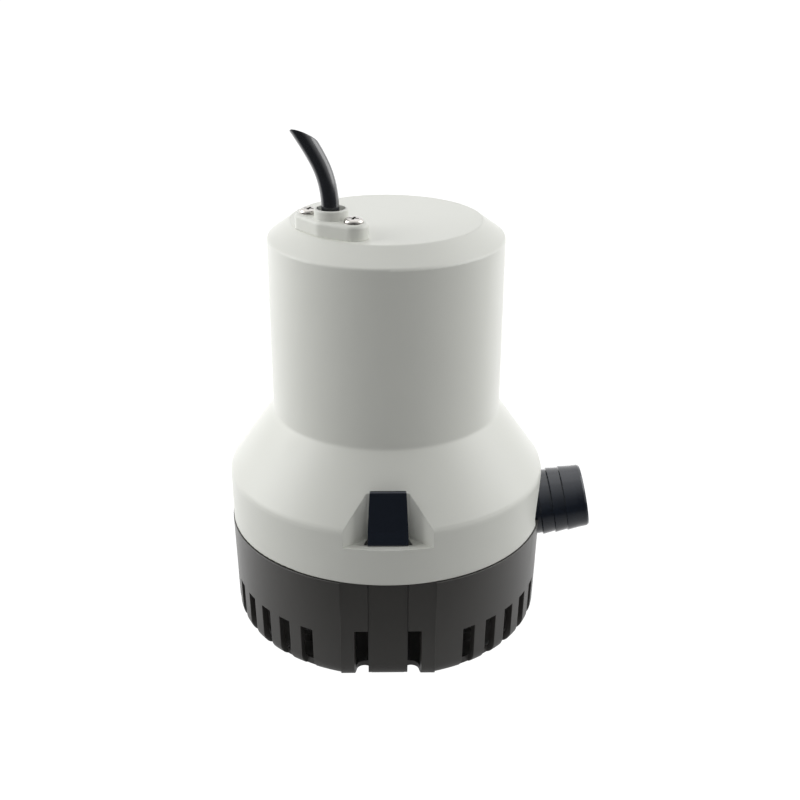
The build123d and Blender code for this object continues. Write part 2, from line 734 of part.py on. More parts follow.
def impeller():
    """Shrouded impeller with backward-curved vanes on its underside."""
    bore = shaft_radius + fit_gap
    body = rod(impeller_hub_radius, hub_z, shroud_z + 9)
    body += rod(impeller_radius, shroud_z, shroud_z + shroud_thickness)
    z0 = chamber_floor_z + impeller_floor_gap
    sweep_deg = 75.0
    mid = (impeller_hub_radius + impeller_radius) / 2
    path = ThreePointArc(
        (impeller_hub_radius - 1.5, 0),
        (mid * math.cos(math.radians(-sweep_deg * 0.36)), mid * math.sin(math.radians(-sweep_deg * 0.36))),
        ((impeller_radius - 1.2) * math.cos(math.radians(-sweep_deg)),
         (impeller_radius - 1.2) * math.sin(math.radians(-sweep_deg))))
    blade = extrude(Pos(0, 0, z0) * trace(path, vane_thickness), vane_height + 0.5)
    blade -= rod(impeller_hub_radius - 0.5, z0 - 1, hub_z)
    body += around(blade, [360 * i / impeller_vanes for i in range(impeller_vanes)])
    return body - rod(bore, z0 - 2, top_z)


def impeller_washer():
    """Washer under the impeller's hub."""
    return ring(impeller_hub_radius - 1.5, shaft_radius - 0.5 + fit_gap, hub_z - 1.0, hub_z)


def impeller_nut():
    """Hexagon nut on the shaft's end."""
    hexagon = extrude(Pos(0, 0, hub_z - 5.2) * RegularPolygon(4.6, 6), 4.2)
    return hexagon - rod(shaft_radius - 0.5 + fit_gap, hub_z - 7, hub_z + 1)


def slinger_ring():
    """Ring on the shaft that throws off water above the seals."""
    return ring(seal_radius - 1, shaft_radius + fit_gap, hub_top_z + 0.6, hub_top_z + 2.2)


def armature_core():
    """Stack of laminations with slots for the windings."""
    body = rod(core_radius, core_z, core_top_z) - rod(shaft_radius + fit_gap, core_z - 1, core_top_z + 1)
    slot = block(core_radius - 14, core_radius - 2.2, -2.2, 2.2, core_z - 1, core_top_z + 1)
    slot += block(core_radius - 4, core_radius + 1, -1.0, 1.0, core_z - 1, core_top_z + 1)
    return body - around(slot, [360 * i / core_teeth for i in range(core_teeth)])


def armature_windings():
    """Copper windings: bars in the slots joined by the end turns."""
    inner = core_radius - 14
    outer = core_radius - 3.0
    low = turned([
        (inner, core_z - 8, 2.5), (outer, core_z - 8, 2.5),
        (outer, core_z - 0.1, 0), (inner, core_z - 0.1, 0)])
    high = turned([
        (inner, core_top_z + 0.1, 0), (outer, core_top_z + 0.1, 0),
        (outer, core_top_z + 8, 2.5), (inner, core_top_z + 8, 2.5)])
    bar = block(inner + 0.2, core_radius - 3.2, -1.9, 1.9, core_z - 2, core_top_z + 2)
    return low + high + around(bar, [360 * i / core_teeth for i in range(core_teeth)])


def commutator():
    """Commutator with its bars parted by narrow slots."""
    body = rod(commutator_radius, commutator_z, commutator_z + commutator_length)
    body += rod(commutator_radius + 1.4, commutator_z - 2.0, commutator_z)
    slot = block(commutator_radius - 1.2, commutator_radius + 2, -0.25, 0.25, commutator_z - 3, motor_top_z)
    body -= around(slot, [360 * (i + 0.5) / commutator_bars for i in range(commutator_bars)])
    return body - rod(shaft_radius + fit_gap, commutator_z - 3, motor_top_z)


def thrust_washers():
    """Washers on the shaft that take up its end play."""
    low_z = motor_z + 8.2
    high_z = commutator_z + commutator_length
    return [ring(6.0, shaft_radius + fit_gap, low_z, low_z + 1.0),
            ring(6.0, shaft_radius + fit_gap, high_z, high_z + 0.8)]


# ---- cable gland, cable and leads ----
def gland_outline():
    """Two-eared outline of the gland flange."""
    outline = Circle(gland_body_radius)
    for side in (-1, 1):
        outline += Pos(side * gland_screw_offset, 0) * Circle(gland_ear_radius)
    return make_hull(outline.edges())


def cable_gland():
    """White flange that clamps the cable's seal, with a round boss for the cable."""
    body = extrude(Pos(0, 0, top_z) * gland_outline(), gland_thickness)
    body = fillet(body.faces().sort_by(Axis.Z)[-1].edges(), gland_edge_radius)
    boss_top = top_z + gland_thickness + gland_boss_height
    boss = rod(gland_boss_radius, top_z + 1, boss_top)
    body += fillet(boss.edges().sort_by(Axis.Z)[-1], 0.5)
    body -= rod(gland_bore_radius, top_z, boss_top + 1)
    body -= rod(seal_pocket_radius, top_z - 1, top_z + 2.2)
    for side in (-1, 1):
        body -= rod(gland_screw_radius + 0.3, top_z - 1, boss_top, side * gland_screw_offset)
    return on_gland(body)


def gland_seal():
    """Rubber bush clamped round the cable under the flange."""
    low = top_z - seal_pocket_depth
    body = ring(seal_pocket_radius - fit_gap, cable_radius + cable_gap, low, top_z + 2.2)
    return on_gland(body)


def gland_screws():
    """Two cross-head screws through the flange's ears."""
    seat = top_z + gland_thickness
    head_top = seat + gland_screw_head_height
    head = rod(gland_screw_head_radius, seat, head_top)
    head = fillet(head.edges().sort_by(Axis.Z)[-1], 0.8 * gland_screw_head_height)
    cross = block(-0.5, 0.5, -2.1, 2.1, -1.1, 1) + block(-2.1, 2.1, -0.5, 0.5, -1.1, 1)
    head -= Pos(0, 0, head_top) * Rot(0, 0, 25) * cross
    body = head + rod(gland_screw_radius - fit_gap, seat - gland_screw_length + 0.5, seat)
    return [on_gland(Pos(side * gland_screw_offset, 0, 0) * body) for side in (-1, 1)]


def route_tube(points, radius, factor=0.45):
    """Tube along straight runs joined by tangent arcs, and the arcs' radii."""
    runs = [Vector(*b) - Vector(*a) for a, b in zip(points, points[1:])]
    radii = []
    for before, after in zip(runs, runs[1:]):
        turn = math.radians(before.get_angle(after))
        radii.append(factor * min(before.length, after.length) / math.tan(turn / 2))
    path = FilletPolyline(*points, radius=radii)
    section = Plane(origin=path @ 0, z_dir=path % 0) * Circle(radius)
    return sweep(section, path=path), radii, path.length


# The cable's points are laid by hand: straight up through the gland, then a slow bend to the left.
cable_route = [
    (-22.22, -21.91, 176.2), (-22.22, -21.91, 190.3), (-23.0, -21.85, 204.0), (-27.8, -21.65, 216.2),
    (-36.4, -21.4, 229.2)]
cable_cut_point = Vector(-32.5, -21.5, 222.7)


def power_cable():
    """Short length of round cable, cut off at a slant."""
    tube, radii, length = route_tube(cable_route, cable_radius)
    print("cable arc radii", [round(r, 1) for r in radii], "route length", round(length, 1))
    cut_plane = Plane(origin=cable_cut_point, z_dir=(cable_end_lean, cable_end_tilt, 1))
    return split(tube, bisect_by=cut_plane, keep=Keep.BOTTOM)


def lead_route(side):
    """Points of one lead, from the cable's inner end to its connector."""
    start_x = cable_route[0][0] + side * lead_spacing / 2
    start_y = cable_route[0][1]
    end_x = side * terminal_x
    z0 = cable_route[0][2]
    first = [(start_x, start_y, z0), (start_x, start_y, z0 - 3.4)]
    last = [(end_x, 0, connector_top_z + 3.4), (end_x, 0, connector_top_z)]
    if side < 0:
        return first + [(start_x - 1.0, -11.0, z0 - 2.6)] + last
    return first + [(-8.0, -18.6, z0 - 2.4), (6.0, -14.4, z0 - 2.8), (18.0, -7.6, z0 - 2.4)] + last


def lead(side, name):
    """Insulated lead inside the housing."""
    tube, radii, length = route_tube(lead_route(side), lead_radius)
    print(name, "arc radii", [round(r, 1) for r in radii], "length", round(length, 1))
    return tube


nodes = {
    "strainer_base": strainer_base(),
    "latch_tongue_front": latch_tongue("front"),
    "latch_tongue_back": latch_tongue("back"),
    "motor_housing": motor_housing(),
    "volute_casing": volute_casing(),
    "casing_o_ring": casing_o_ring(),
    "casing_screws": casing_screws(),
    "seal_plate": seal_plate(),
    "housing_o_ring": housing_o_ring(),
    "shaft_seal_lower": shaft_seal(lower_seal_z),
    "shaft_seal_upper": shaft_seal(upper_seal_z),
    "seal_spacer": seal_spacer(),
    "motor_can": motor_can(),
    "motor_end_cap": motor_end_cap(),
    "bearing_lower": bearing(motor_z + 0.8),
    "bearing_upper": bearing(card_z + 2.2),
    "magnets": magnets(),
    "brush_card": brush_card(),
    "brush_holders": brush_holders(),
    "carbon_brushes": carbon_brushes(),
    "brush_springs": brush_springs(),
    "terminals": terminals(),
    "push_on_connectors": push_on_connectors(),
    "motor_cushion_lower": cushions("lower"),
    "motor_cushion_upper": cushions("upper"),
    "motor_shaft": motor_shaft(),
    "armature_core": armature_core(),
    "armature_windings": armature_windings(),
    "commutator": commutator(),
    "thrust_washers": thrust_washers(),
    "slinger_ring": slinger_ring(),
    "impeller": impeller(),
    "impeller_washer": impeller_washer(),
    "impeller_nut": impeller_nut(),
    "cable_gland": cable_gland(),
    "gland_seal": gland_seal(),
    "gland_screws": gland_screws(),
    "power_cable": power_cable(),
    "lead_positive": lead(1, "positive lead"),
    "lead_negative": lead(-1, "negative lead"),
}

os.makedirs("parts", exist_ok=True)
for name, shape in nodes.items():
    solids = []
    for item in shape if isinstance(shape, list) else [shape]:
        solids += item.solids()
    export_step(Compound(children=solids), f"parts/{name}.step")
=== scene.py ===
"""Finishes, cable, wiring details and studio for a submersible bilge pump."""

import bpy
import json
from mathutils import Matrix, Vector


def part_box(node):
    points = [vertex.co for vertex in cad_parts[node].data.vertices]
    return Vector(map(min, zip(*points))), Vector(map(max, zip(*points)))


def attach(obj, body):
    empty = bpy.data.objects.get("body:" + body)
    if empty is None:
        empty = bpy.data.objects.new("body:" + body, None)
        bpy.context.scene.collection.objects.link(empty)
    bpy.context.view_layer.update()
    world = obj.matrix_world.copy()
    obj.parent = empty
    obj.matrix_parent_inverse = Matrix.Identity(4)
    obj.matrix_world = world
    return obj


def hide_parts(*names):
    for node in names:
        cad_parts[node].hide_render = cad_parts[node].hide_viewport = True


bl_info = {
    "name": "Bilge pump",
    "version": (1, 0, 0),
    "blender": (4, 5, 0),
    "location": "View3D > Sidebar > Bilge pump",
    "description": "Finishes, cable, wiring details and studio for a submersible bilge pump",
    "category": "Object",
}

import json
import math

import bmesh
import bpy
from bpy.props import FloatProperty, FloatVectorProperty, PointerProperty
from mathutils import Matrix, Vector

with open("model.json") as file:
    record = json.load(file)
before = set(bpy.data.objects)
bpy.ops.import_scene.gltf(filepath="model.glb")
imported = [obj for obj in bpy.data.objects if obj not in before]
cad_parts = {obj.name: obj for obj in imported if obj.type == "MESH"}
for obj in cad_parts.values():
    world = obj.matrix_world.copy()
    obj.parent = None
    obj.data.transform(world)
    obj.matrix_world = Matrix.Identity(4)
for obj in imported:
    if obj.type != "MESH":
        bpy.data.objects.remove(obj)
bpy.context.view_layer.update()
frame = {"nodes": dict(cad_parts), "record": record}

BASE_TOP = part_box("strainer_base")[1].z

# Nodes whose finish is not the one of their slot: black mouldings from a polished tool (on the latch, darker
# above the base partly as painted shade), and the windings.
OWN_FINISH = {
    "latch_tongue_front": "latch", "latch_tongue_back": "latch", "volute_casing": "casing",
    "armature_windings": "enamel"}

# The cable's route, as in the CAD: straight up through the gland, then a slow bend to the left.
CABLE_ROUTE = (
    (-0.02222, -0.02191, 0.1762),
    (-0.02222, -0.02191, 0.1903),
    (-0.0230, -0.02185, 0.2040),
    (-0.0278, -0.02165, 0.2162),
    (-0.0364, -0.0214, 0.2292),
)
CABLE_CUT_POINT = Vector((-0.0325, -0.0215, 0.2227))
CABLE_CUT_NORMAL = Vector((0.31, 0.69, 1.0)).normalized()

# At the cut: the worn edge of the jacket, how far in the jacket's inside starts to drop and how deep it goes,
# how far the cores end under the plane of the cut, and how far their strands stick out of them.
CUT_BEVEL = 0.00025
HOLLOW_MARGIN = 0.0001
HOLLOW_DEPTH = 0.0005
CORE_RECESS = 0.00025
STRAND_LIFT = 0.0003

# Each core lies this share of its diameter off the middle. Its strands stand in rings, given as radius and
# count. A core or strand is a short rod of this length, with its middle this far under the cut.
CORE_SPACING = 0.54
STRAND_RINGS = ((0.0, 1), (0.00046, 6))
STUB_LENGTH = 0.006
STUB_DROP = 0.004

# Camera: its place, its tilt from straight down, its turn, and the frame's shift to the side.
CAMERA_PLACE = (-0.00544, -0.49031, 0.31566)
CAMERA_TILT_DEG = 66.406
CAMERA_TURN_DEG = -0.636
CAMERA_SHIFT = 0.01713
SENSOR_WIDTH = 36.0

# Lamps: the point they look at, and for each side lamp its side, share of the power and height.
LAMP_TARGET = (0.0, 0.0, 0.09)
SIDE_LAMPS = ((-1.0, 1.05, 0.58), (1.0, 0.90, 0.60))
SIDE_LAMP_REACH = 0.92
SIDE_LAMP_BACK = 0.08
SIDE_LAMP_SIZE = (0.8, 0.9)
TOP_LAMP_PLACE = (0.0, 0.35, 1.22)
TOP_LAMP_SIZE = (1.0, 1.0)

# Reflections of the world: the level that is everywhere, and what is added behind, at the sides and above.
MIRROR_BASE = 0.08
MIRROR_BEHIND = 1.3
MIRROR_SIDES = 1.2
MIRROR_ABOVE = 1.35

# Floor: how far it lies under the part, so that the two faces do not flicker, its grey, the white that the
# camera sees and its share, and the reflected level at the part, its rise towards the back and its limits.
FLOOR_DROP = 0.0002
FLOOR_GREY = (0.62, 0.62, 0.62, 1.0)
FLOOR_GLOW = 1.25
FLOOR_GLOW_SHARE = 0.84
FLOOR_MIRROR = 0.85
FLOOR_MIRROR_RISE = 6.5
FLOOR_MIRROR_LOW = 0.08
FLOOR_MIRROR_HIGH = 1.8
WHITE = (1.0, 1.0, 1.0, 1.0)


# ---- settings ----
def colour_property(name, description, default):
    return FloatVectorProperty(
        name=name, description=description, default=default, subtype="COLOR", size=3, min=0.0, max=1.0)


def length_property(name, description, default):
    return FloatProperty(
        name=name, description=description, default=default, min=0.0, precision=5, unit="LENGTH",
        subtype="DISTANCE")


def power_property(name, description, default):
    return FloatProperty(name=name, description=description, default=default, min=0.0, unit="POWER")


class PumpColours(bpy.types.PropertyGroup):
    """Colours of the pump's finishes."""

    white_plastic: colour_property("White plastic", "Motor housing and cable gland", (0.802, 0.812, 0.757))
    black_plastic: colour_property("Black plastic", "Base and latch panels", (0.062, 0.060, 0.056))
    polished_black: colour_property("Polished black", "Finger tabs and hose barb", (0.010, 0.015, 0.026))
    black_rubber: colour_property("Rubber", "Seals, rings and cushions", (0.022, 0.022, 0.023))
    cable_jacket: colour_property("Cable jacket", "Outer jacket of the power cable", (0.013, 0.015, 0.020))
    brown_lead: colour_property("Brown lead", "Insulation of the positive lead", (0.21, 0.085, 0.035))
    stainless: colour_property("Stainless steel", "Screws, shaft, nut and washer", (0.40, 0.385, 0.365))
    plated_steel: colour_property("Plated steel", "Motor can", (0.50, 0.51, 0.53))
    core_steel: colour_property("Core steel", "Laminations of the armature", (0.30, 0.31, 0.33))
    brass: colour_property("Brass", "Brush holders, blades and connectors", (0.72, 0.53, 0.24))
    bronze: colour_property("Sintered bronze", "Shaft bearings", (0.48, 0.31, 0.16))
    copper: colour_property("Copper", "Commutator and bare strands", (0.80, 0.42, 0.26))
    enamel: colour_property("Enamelled wire", "Armature windings", (0.46, 0.17, 0.07))
    ferrite: colour_property("Ferrite", "Field magnets", (0.055, 0.056, 0.060))
    carbon: colour_property("Carbon", "Brushes", (0.035, 0.035, 0.036))
    board: colour_property("Phenolic board", "Brush card and thrust washers", (0.20, 0.095, 0.038))


class PumpSizes(bpy.types.PropertyGroup):
    """Sizes of the pieces added to the CAD."""

    cable_diameter: length_property("Cable diameter", "Outside of the round jacket", 0.0072)
    cable_length: length_property("Cable length", "Whole cable, from inside the gland to the cut", 0.049)
    jacket_wall: length_property("Jacket wall", "Rim that shows round the cores at the cut", 0.0010)
    core_diameter: length_property("Core diameter", "Outside of one insulated core", 0.0024)
    strand_diameter: length_property("Strand diameter", "One copper strand of a core", 0.00042)
    edge_softness: length_property("Edge softness", "Radius of the moulded edges' shine", 0.00045)


class StudioSettings(bpy.types.PropertyGroup):
    """Camera, lamps and floor."""

    lens: FloatProperty(name="Lens", description="Focal length in millimetres", default=54.127, min=1.0)
    side_power: power_property("Side lamps", "Power of each side lamp", 6.4)
    top_power: power_property("Top lamp", "Power of the lamp overhead", 0.9)
    ambient: FloatProperty(name="Ambient", description="World level for matte faces", default=0.265, min=0.0)
    floor_size: length_property("Floor size", "Side of the square floor", 14.0)


# ---- shader building ----
class Socket:
    """A shader socket that takes part in arithmetic."""

    def __init__(self, nodes, link):
        self.nodes = nodes
        self.link = link

    def math(self, operation, first, second):
        return self.nodes.add("ShaderNodeMath", {"operation": operation}, {0: first, 1: second})

    def __add__(self, other):
        return self.math("ADD", self, other)

    def __radd__(self, other):
        return self.math("ADD", other, self)

    def __sub__(self, other):
        return self.math("SUBTRACT", self, other)

    def __rsub__(self, other):
        return self.math("SUBTRACT", other, self)

    def __mul__(self, other):
        return self.math("MULTIPLY", self, other)

    def __rmul__(self, other):
        return self.math("MULTIPLY", other, self)

    def __pow__(self, other):
        return self.math("POWER", self, other)


class Nodes:
    """A node tree under construction."""

    def __init__(self, tree):
        self.tree = tree

    def add(self, kind, settings=None, inputs=None, output=0):
        """Add a node, its settings first and then the values or links of its sockets."""
        node = self.tree.nodes.new(kind)
        for name, value in (settings or {}).items():
            if name == "stops":
                self.set_stops(node.color_ramp, value)
            else:
                setattr(node, name, value)
        for name, value in (inputs or {}).items():
            self.feed(node.inputs[name], value)
        return Socket(self, node.outputs[output])

    def feed(self, socket, value):
        if isinstance(value, Socket):
            self.tree.links.new(value.link, socket)
        else:
            socket.default_value = value

    def set_stops(self, ramp, stops):
        for element, (place, level) in zip(ramp.elements, (stops[0], stops[-1])):
            element.position = place
            element.color = (level, level, level, 1.0)
        for place, level in stops[1:-1]:
            ramp.elements.new(place).color = (level, level, level, 1.0)


class Finish(Nodes):
    """A material with one Principled surface."""

    def __init__(self, name):
        self.material = bpy.data.materials.new(name)
        self.material.use_nodes = True
        super().__init__(self.material.node_tree)
        self.surface = self.tree.nodes["Principled BSDF"]
        self.place = self.add("ShaderNodeTexCoord", output="Object")

    def stretched(self, scale):
        """Object coordinates stretched along the axes."""
        return self.add("ShaderNodeMapping", None, {"Vector": self.place, "Scale": scale})

    def noise(self, scale, detail, vector=None):
        inputs = {"Vector": vector or self.place, "Scale": scale, "Detail": detail, "Roughness": 0.6}
        return self.add("ShaderNodeTexNoise", None, inputs)

    def ramp(self, value, stops):
        return self.add("ShaderNodeValToRGB", {"stops": stops}, {"Fac": value})

    def mix(self, factor, first, second):
        """Blend two colours."""
        inputs = {0: factor, 6: first, 7: second}
        return self.add("ShaderNodeMix", {"data_type": "RGBA"}, inputs, output=2)

    def height(self, axis):
        """One coordinate of the object's own space: 0, 1 or 2."""
        return self.add("ShaderNodeSeparateXYZ", None, {0: self.place}, output=axis)

    def soft_edges(self, radius):
        """Normal rounded off at sharp edges, and a mask that is high there."""
        normal = self.add("ShaderNodeBevel", {"samples": 6}, {"Radius": radius})
        true_normal = self.add("ShaderNodeNewGeometry", output="Normal")
        facing = self.add(
            "ShaderNodeVectorMath", {"operation": "DOT_PRODUCT"}, {0: normal, 1: true_normal}, output="Value")
        return normal, self.ramp(1.0 - facing, [(0.02, 0.0), (0.30, 1.0)])

    def bump(self, height, depth, strength, normal=None):
        inputs = {"Height": height, "Distance": depth, "Strength": strength}
        if normal is not None:
            inputs["Normal"] = normal
        return self.add("ShaderNodeBump", None, inputs)

    def end(self, **inputs):
        """Feed the surface: names are socket names with underscores for spaces."""
        for name, value in inputs.items():
            self.feed(self.surface.inputs[name.replace("_", " ")], value)
        return self.material


def rgba(colour, level=1.0):
    return (colour[0] * level, colour[1] * level, colour[2] * level, 1.0)


# ---- finishes ----
def moulded_plastic(name, colour, edge_radius, grain, depth, roughness, shade, painted_edge_colour, index):
    """Injection-moulded plastic: fine spark grain, uneven sheen, and softened edges with painted edge light.
    """
    finish = Finish(name)
    edge_normal, edges = finish.soft_edges(edge_radius)
    cloud = finish.noise(14.0, 3.0)
    fine = finish.noise(grain, 3.0)
    streaks = finish.noise(90.0, 5.0, finish.stretched((1.0, 1.0, 0.18)))
    scuff = finish.ramp(streaks, [(0.60, 0.0), (0.78, 1.0)])
    tone = finish.mix(cloud, rgba(colour, 1.0 - shade), rgba(colour, 1.0 + shade))
    # Painted edge light: the edges are blended towards the edge colour, lighter for a painted highlight,
    # darker for painted shade.
    tone = finish.mix(edges * 0.35, tone, painted_edge_colour)
    sheen = roughness + 0.16 * (cloud - 0.5) + 0.10 * scuff + 0.08 * (fine - 0.5)
    return finish.end(
        Base_Color=tone, Roughness=sheen, Normal=finish.bump(fine, depth, 0.6, edge_normal), IOR=index)


def white_plastic(settings, sizes):
    colour = settings.white_plastic
    # The edge colour here is painted shade, a touch darker than the white.
    return moulded_plastic(
        "white moulded plastic", colour, sizes.edge_softness, grain=1500.0, depth=0.00003, roughness=0.40,
        shade=0.018, painted_edge_colour=rgba(colour, 0.97), index=1.49)


def black_plastic(settings, sizes):
    colour = settings.black_plastic
    # The edge colour here is a painted highlight, 1.7 times lighter than the black.
    return moulded_plastic(
        "black moulded plastic", colour, sizes.edge_softness, grain=1900.0, depth=0.00007, roughness=0.37,
        shade=0.14, painted_edge_colour=rgba(colour, 1.7), index=1.62)


def polished_plastic(name, settings, sizes, grained_and_unshaded_below=None):
    """Black moulding from a polished tool, with a painted highlight on its edges; below a height it can be
    grained like the base, with the base's colour and rougher sheen, and the darker colour above that height
    is partly painted shade.
    """
    finish = Finish(name)
    edge_normal, edges = finish.soft_edges(sizes.edge_softness)
    cloud = finish.noise(26.0, 3.0)
    fine = finish.noise(1900.0, 3.0)
    colour = settings.polished_black
    tone = finish.mix(cloud, rgba(colour, 0.85), rgba(colour, 1.2))
    sheen = 0.17 + 0.08 * (cloud - 0.5)
    if grained_and_unshaded_below is not None:
        # Below the height: the base's colour and a rougher sheen. The darker colour kept above it is partly
        # the polished moulding's own and partly painted shade of the leaning tab.
        low = finish.ramp(40.0 * (grained_and_unshaded_below - finish.height(2)) + 0.5, [(0.45, 0.0), (0.55, 1.0)])
        tone = finish.mix(low, tone, rgba(settings.black_plastic))
        sheen = sheen + 0.20 * low
    # Painted highlight: the edges are blended towards a colour 3.5 times lighter.
    tone = finish.mix(edges * 0.25, tone, rgba(colour, 3.5))
    return finish.end(
        Base_Color=tone, Roughness=sheen, Normal=finish.bump(fine, 0.00004, 0.5, edge_normal), IOR=1.5)


def rubber(name, colour, roughness):
    """Moulded rubber with a grey bloom and a fine matte grain."""
    finish = Finish(name)
    bloom = finish.ramp(finish.noise(120.0, 4.0), [(0.45, 0.0), (0.80, 1.0)])
    fine = finish.noise(2600.0, 2.0)
    tone = finish.mix(bloom * 0.5, rgba(colour), rgba(colour, 1.9))
    return finish.end(
        Base_Color=tone, Roughness=roughness + 0.15 * bloom, Normal=finish.bump(fine, 0.00003, 0.6), IOR=1.5)


def extruded_jacket(name, colour, roughness):
    """Extruded insulation: faint lines along the run, with a satin sheen."""
    finish = Finish(name)
    lines = finish.noise(1500.0, 2.0, finish.stretched((1.0, 1.0, 0.03)))
    cloud = finish.noise(160.0, 3.0)
    tone = finish.mix(cloud, rgba(colour, 0.8), rgba(colour, 1.25))
    return finish.end(
        Base_Color=tone, Roughness=roughness + 0.12 * (cloud - 0.5) + 0.08 * (lines - 0.5),
        Normal=finish.bump(lines, 0.00004, 0.5), IOR=1.75)


def metal(name, colour, roughness, stretch, scale=700.0, spots=0.0, depth=0.000015):
    """Metal with fine tool marks along one direction and a few dull spots."""
    finish = Finish(name)
    marks = finish.noise(scale, 3.0, finish.stretched(stretch))
    cloud = finish.noise(60.0, 3.0)
    dull = finish.ramp(finish.noise(420.0, 2.0), [(0.62, 0.0), (0.74, 1.0)])
    tone = finish.mix(cloud, rgba(colour, 0.90), rgba(colour, 1.08))
    tone = finish.mix(dull * spots, tone, rgba(colour, 0.45))
    sheen = roughness + 0.20 * (marks - 0.5) + 0.10 * (cloud - 0.5) + 0.25 * spots * dull
    return finish.end(
        Base_Color=tone, Metallic=1.0, Roughness=sheen, Normal=finish.bump(marks, depth, 0.5))


def laminated_steel(settings):
    """Stacked laminations: thin dark lines across the armature's axis."""
    finish = Finish("laminated core steel")
    layers = finish.add(
        "ShaderNodeTexWave", {"wave_type": "BANDS", "bands_direction": "Z"},
        {"Vector": finish.place, "Scale": 320.0, "Distortion": 0.4, "Detail": 1.0, "Detail Scale": 3.0})
    lines = finish.ramp(layers, [(0.05, 0.0), (0.35, 1.0)])
    rust = finish.ramp(finish.noise(180.0, 4.0), [(0.55, 0.0), (0.80, 1.0)])
    tone = finish.mix(lines, rgba(settings.core_steel, 0.35), rgba(settings.core_steel))
    tone = finish.mix(rust * 0.35, tone, (0.16, 0.075, 0.035, 1.0))
    return finish.end(
        Base_Color=tone, Metallic=0.85, Roughness=0.42 + 0.2 * rust, Normal=finish.bump(lines, 0.00005, 0.6))


def pressed_powder(name, colour, metallic, roughness, pits):
    """Pressed or sintered powder: small pits and a speckled tone."""
    finish = Finish(name)
    grains = finish.add(
        "ShaderNodeTexVoronoi", {"feature": "F1"}, {"Vector": finish.place, "Scale": pits})
    holes = finish.ramp(grains, [(0.10, 0.0), (0.45, 1.0)])
    cloud = finish.noise(130.0, 3.0)
    tone = finish.mix(holes, rgba(colour, 0.55), finish.mix(cloud, rgba(colour, 0.85), rgba(colour, 1.2)))
    return finish.end(
        Base_Color=tone, Metallic=metallic, Roughness=roughness + 0.15 * (cloud - 0.5),
        Normal=finish.bump(holes, 0.00004, 0.5))


def phenolic_board(settings):
    """Paper-based laminate board with faint crossing fibres."""
    finish = Finish("phenolic board")
    along = finish.noise(300.0, 3.0, finish.stretched((1.0, 0.08, 1.0)))
    across = finish.noise(300.0, 3.0, finish.stretched((0.08, 1.0, 1.0)))
    fibres = 0.5 * (along + across)
    tone = finish.mix(fibres, rgba(settings.board, 0.65), rgba(settings.board, 1.35))
    return finish.end(
        Base_Color=tone, Roughness=0.42 + 0.2 * (fibres - 0.5), Normal=finish.bump(fibres, 0.00002, 0.5))


def enamelled_wire(settings):
    """Copper wire under a clear amber enamel."""
    finish = Finish("enamelled copper wire")
    cloud = finish.noise(260.0, 3.0)
    tone = finish.mix(cloud, rgba(settings.enamel, 0.75), rgba(settings.enamel, 1.35))
    return finish.end(
        Base_Color=tone, Metallic=0.55, Roughness=0.26 + 0.12 * (cloud - 0.5), Coat_Weight=0.6,
        Coat_Roughness=0.12)


def make_finishes(settings, sizes):
    """Every finish by name: one for each of the record's material slots, and those in OWN_FINISH."""
    return {
        "white_plastic": white_plastic(settings, sizes),
        "black_plastic": black_plastic(settings, sizes),
        "latch": polished_plastic("latch moulding", settings, sizes, grained_and_unshaded_below=BASE_TOP),
        "casing": polished_plastic("pump casing moulding", settings, sizes),
        "black_rubber": rubber("black rubber", settings.black_rubber, roughness=0.55),
        "cable_jacket": extruded_jacket("cable jacket", settings.cable_jacket, roughness=0.19),
        "lead_brown": extruded_jacket("brown lead insulation", settings.brown_lead, roughness=0.38),
        "stainless": metal("stainless steel", settings.stainless, 0.20, (1.0, 1.0, 0.06)),
        "plated_steel": metal(
            "zinc-plated steel", settings.plated_steel, 0.34, (1.0, 1.0, 0.05), scale=240.0, spots=0.3),
        "bronze": pressed_powder(
            "sintered bronze", settings.bronze, metallic=0.9, roughness=0.42, pits=2200.0),
        "ferrite": pressed_powder(
            "ground ferrite", settings.ferrite, metallic=0.0, roughness=0.38, pits=1600.0),
        "carbon": pressed_powder(
            "pressed carbon", settings.carbon, metallic=0.1, roughness=0.45, pits=2600.0),
        "card_brown": phenolic_board(settings),
        "brass": metal("stamped brass", settings.brass, 0.28, (1.0, 0.1, 1.0), scale=400.0, spots=0.4),
        "core_steel": laminated_steel(settings),
        "copper": metal("turned copper", settings.copper, 0.26, (0.1, 0.1, 1.0), scale=900.0, spots=0.3),
        "enamel": enamelled_wire(settings),
    }


# ---- mesh helpers ----
def finished(name, mesh, body, materials):
    """Turn a bmesh into a piece that rides on a body."""
    data = bpy.data.meshes.new(name)
    mesh.to_mesh(data)
    mesh.free()
    piece = bpy.data.objects.new(name, data)
    bpy.context.scene.collection.objects.link(piece)
    for material in materials:
        data.materials.append(material)
    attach(piece, body)
    return piece


def shade_smooth(mesh, angle_deg):
    """Smooth faces, with edges sharper than an angle kept crisp."""
    for face in mesh.faces:
        face.smooth = True
    limit = math.radians(angle_deg)
    for edge in mesh.edges:
        edge.smooth = len(edge.link_faces) == 2 and edge.calc_face_angle(0.0) < limit


